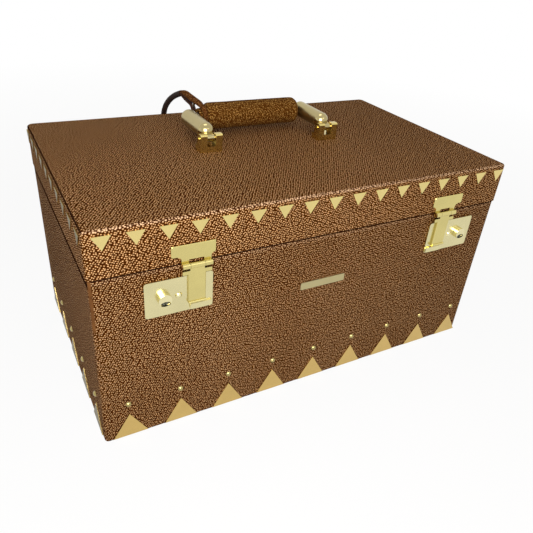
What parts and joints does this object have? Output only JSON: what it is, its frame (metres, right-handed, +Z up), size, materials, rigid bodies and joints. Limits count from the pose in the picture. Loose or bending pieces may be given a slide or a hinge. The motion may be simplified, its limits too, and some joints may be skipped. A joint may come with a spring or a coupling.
{
  "type": "jewellery trunk",
  "caption": "Rectangular leather-covered jewellery trunk with hinged lid, hasp locks with sliding knobs, top handle, brass trim, mirror and lift-out tray",
  "frame": {"origin": "middle of the underside of the case's base sheet, without the trim, locks and hinges", "axes": "+X along the front to the right, +Y from the front to the back, +Z up"},
  "size_m": [0.3624, 0.229, 0.2096],
  "materials": {
    "leather": "pebbled bronze leather with a soft metallic sheen",
    "seam_leather": "smooth tan leather",
    "wood": "plain light plywood, unfinished",
    "base_felt": "dark felt",
    "lining": "short-pile cream velvet",
    "ring_roll_velvet": "short-pile cream velvet",
    "ribbon": "woven brown ribbon",
    "triangle_brass": "satin gold",
    "nameplate_brass": "satin pale gold",
    "plate_brass": "polished pale gold",
    "knob_brass": "bright polished gold",
    "lock_steel": "plain steel",
    "hinge_brass": "polished gold",
    "handle_brass": "polished gold",
    "grip_leather": "fine-grained bronze leather with a soft metallic sheen",
    "strap_leather": "fine-grained dark leather",
    "thong_leather": "smooth dark leather",
    "mirror": "silvered glass",
    "frame_brass": "satin gold"
  },
  "bodies": {
    "case": {"case_covering": "leather", "case_boards": "wood", "base_board": "wood", "base_sheet": "base_felt", "case_lining": "lining", "well_pad": "lining", "well_dividers": "lining", "tray_ledges": "wood", "seam_strip": "seam_leather", "nameplate": "nameplate_brass", "foot_triangles_front": "triangle_brass", "foot_triangles_back": "triangle_brass", "foot_triangles_left": "triangle_brass", "foot_triangles_right": "triangle_brass", "studs": "triangle_brass", "rear_case_leaves": "hinge_brass", "rear_pins": "hinge_brass", "lock_plate_left": "plate_brass", "lock_plate_right": "plate_brass", "lock_case_left": "lock_steel", "lock_case_right": "lock_steel", "lock_pegs": "knob_brass", "lock_detents": "lock_steel"},
    "lid": {"lid_covering": "leather", "lid_boards": "wood", "lid_lining": "lining", "mirror_glass": "mirror", "mirror_frame": "frame_brass", "lid_triangles_front": "triangle_brass", "lid_triangles_back": "triangle_brass", "lid_triangles_left": "triangle_brass", "lid_triangles_right": "triangle_brass", "rear_lid_leaves": "hinge_brass", "hasp_mount_left": "plate_brass", "hasp_mount_right": "plate_brass", "hasp_pins": "plate_brass", "handle_mount_left": "handle_brass", "handle_mount_right": "handle_brass", "handle_pins": "handle_brass", "mount_bolts": "lock_steel"},
    "handle": {"handle_arm_left": "handle_brass", "handle_arm_right": "handle_brass", "handle_core": "lock_steel", "handle_grip": "grip_leather"},
    "grip_strap": {"strap_loop": "strap_leather", "loop_rivet": "lock_steel", "strap_thong": "thong_leather"},
    "hasp_left": {"hasp_left": "plate_brass"},
    "hasp_right": {"hasp_right": "plate_brass"},
    "knob_left": {"lock_knob_left": "knob_brass"},
    "knob_right": {"lock_knob_right": "knob_brass"},
    "key_plug_left": {"key_plug_left": "knob_brass"},
    "key_plug_right": {"key_plug_right": "knob_brass"},
    "tray": {"tray_walls": "wood", "tray_floor": "wood", "tray_dividers": "lining", "tray_pads": "lining", "ring_rolls": "ring_roll_velvet", "tray_pulls": "ribbon"}
  },
  "joints": [
    {"name": "lid_hinge", "type": "hinge", "parent": "case", "child": "lid", "pos_m": [0, 0.1082, 0.14595], "axis": [-1, 0, 0], "range_deg": [0, 100]},
    {"name": "tray_lift", "type": "slide", "parent": "case", "child": "tray", "axis": [0, 0, 1], "range_m": [0, 0.0965]},
    {"name": "handle_hinge", "type": "hinge", "parent": "lid", "child": "handle", "pos_m": [0.0023, -0.0017, 0.192], "axis": [1, 0, 0], "range_deg": [0, 100]},
    {"name": "strap_swing", "type": "hinge", "parent": "handle", "child": "grip_strap", "pos_m": [0.0023, 0.044, 0.195], "axis": [1, 0, 0], "range_deg": [-100, 0]},
    {"name": "hasp_left_hinge", "type": "hinge", "parent": "lid", "child": "hasp_left", "pos_m": [-0.1079, -0.1085, 0.1451], "axis": [-1, 0, 0], "range_deg": [0, 140]},
    {"name": "hasp_right_hinge", "type": "hinge", "parent": "lid", "child": "hasp_right", "pos_m": [0.1173, -0.1085, 0.1451], "axis": [-1, 0, 0], "range_deg": [0, 140]},
    {"name": "knob_left_slide", "type": "slide", "parent": "case", "child": "knob_left", "axis": [1, 0, 0], "range_m": [0, 0.0022]},
    {"name": "knob_right_slide", "type": "slide", "parent": "case", "child": "knob_right", "axis": [-1, 0, 0], "range_m": [0, 0.0022]},
    {"name": "key_left_turn", "type": "hinge", "parent": "knob_left", "child": "key_plug_left", "pos_m": [-0.1314, -0.11, 0.1201], "axis": [0, 1, 0], "range_deg": [0, 90]},
    {"name": "key_right_turn", "type": "hinge", "parent": "knob_right", "child": "key_plug_right", "pos_m": [0.1408, -0.11, 0.1201], "axis": [0, 1, 0], "range_deg": [0, 90]}
  ],
  "couplings": [
    {"joint": "tray_lift", "follows": "lid_hinge", "m_per_rad": 0.055},
    {"joint": "strap_swing", "follows": "handle_hinge", "ratio": -1}
  ]
}
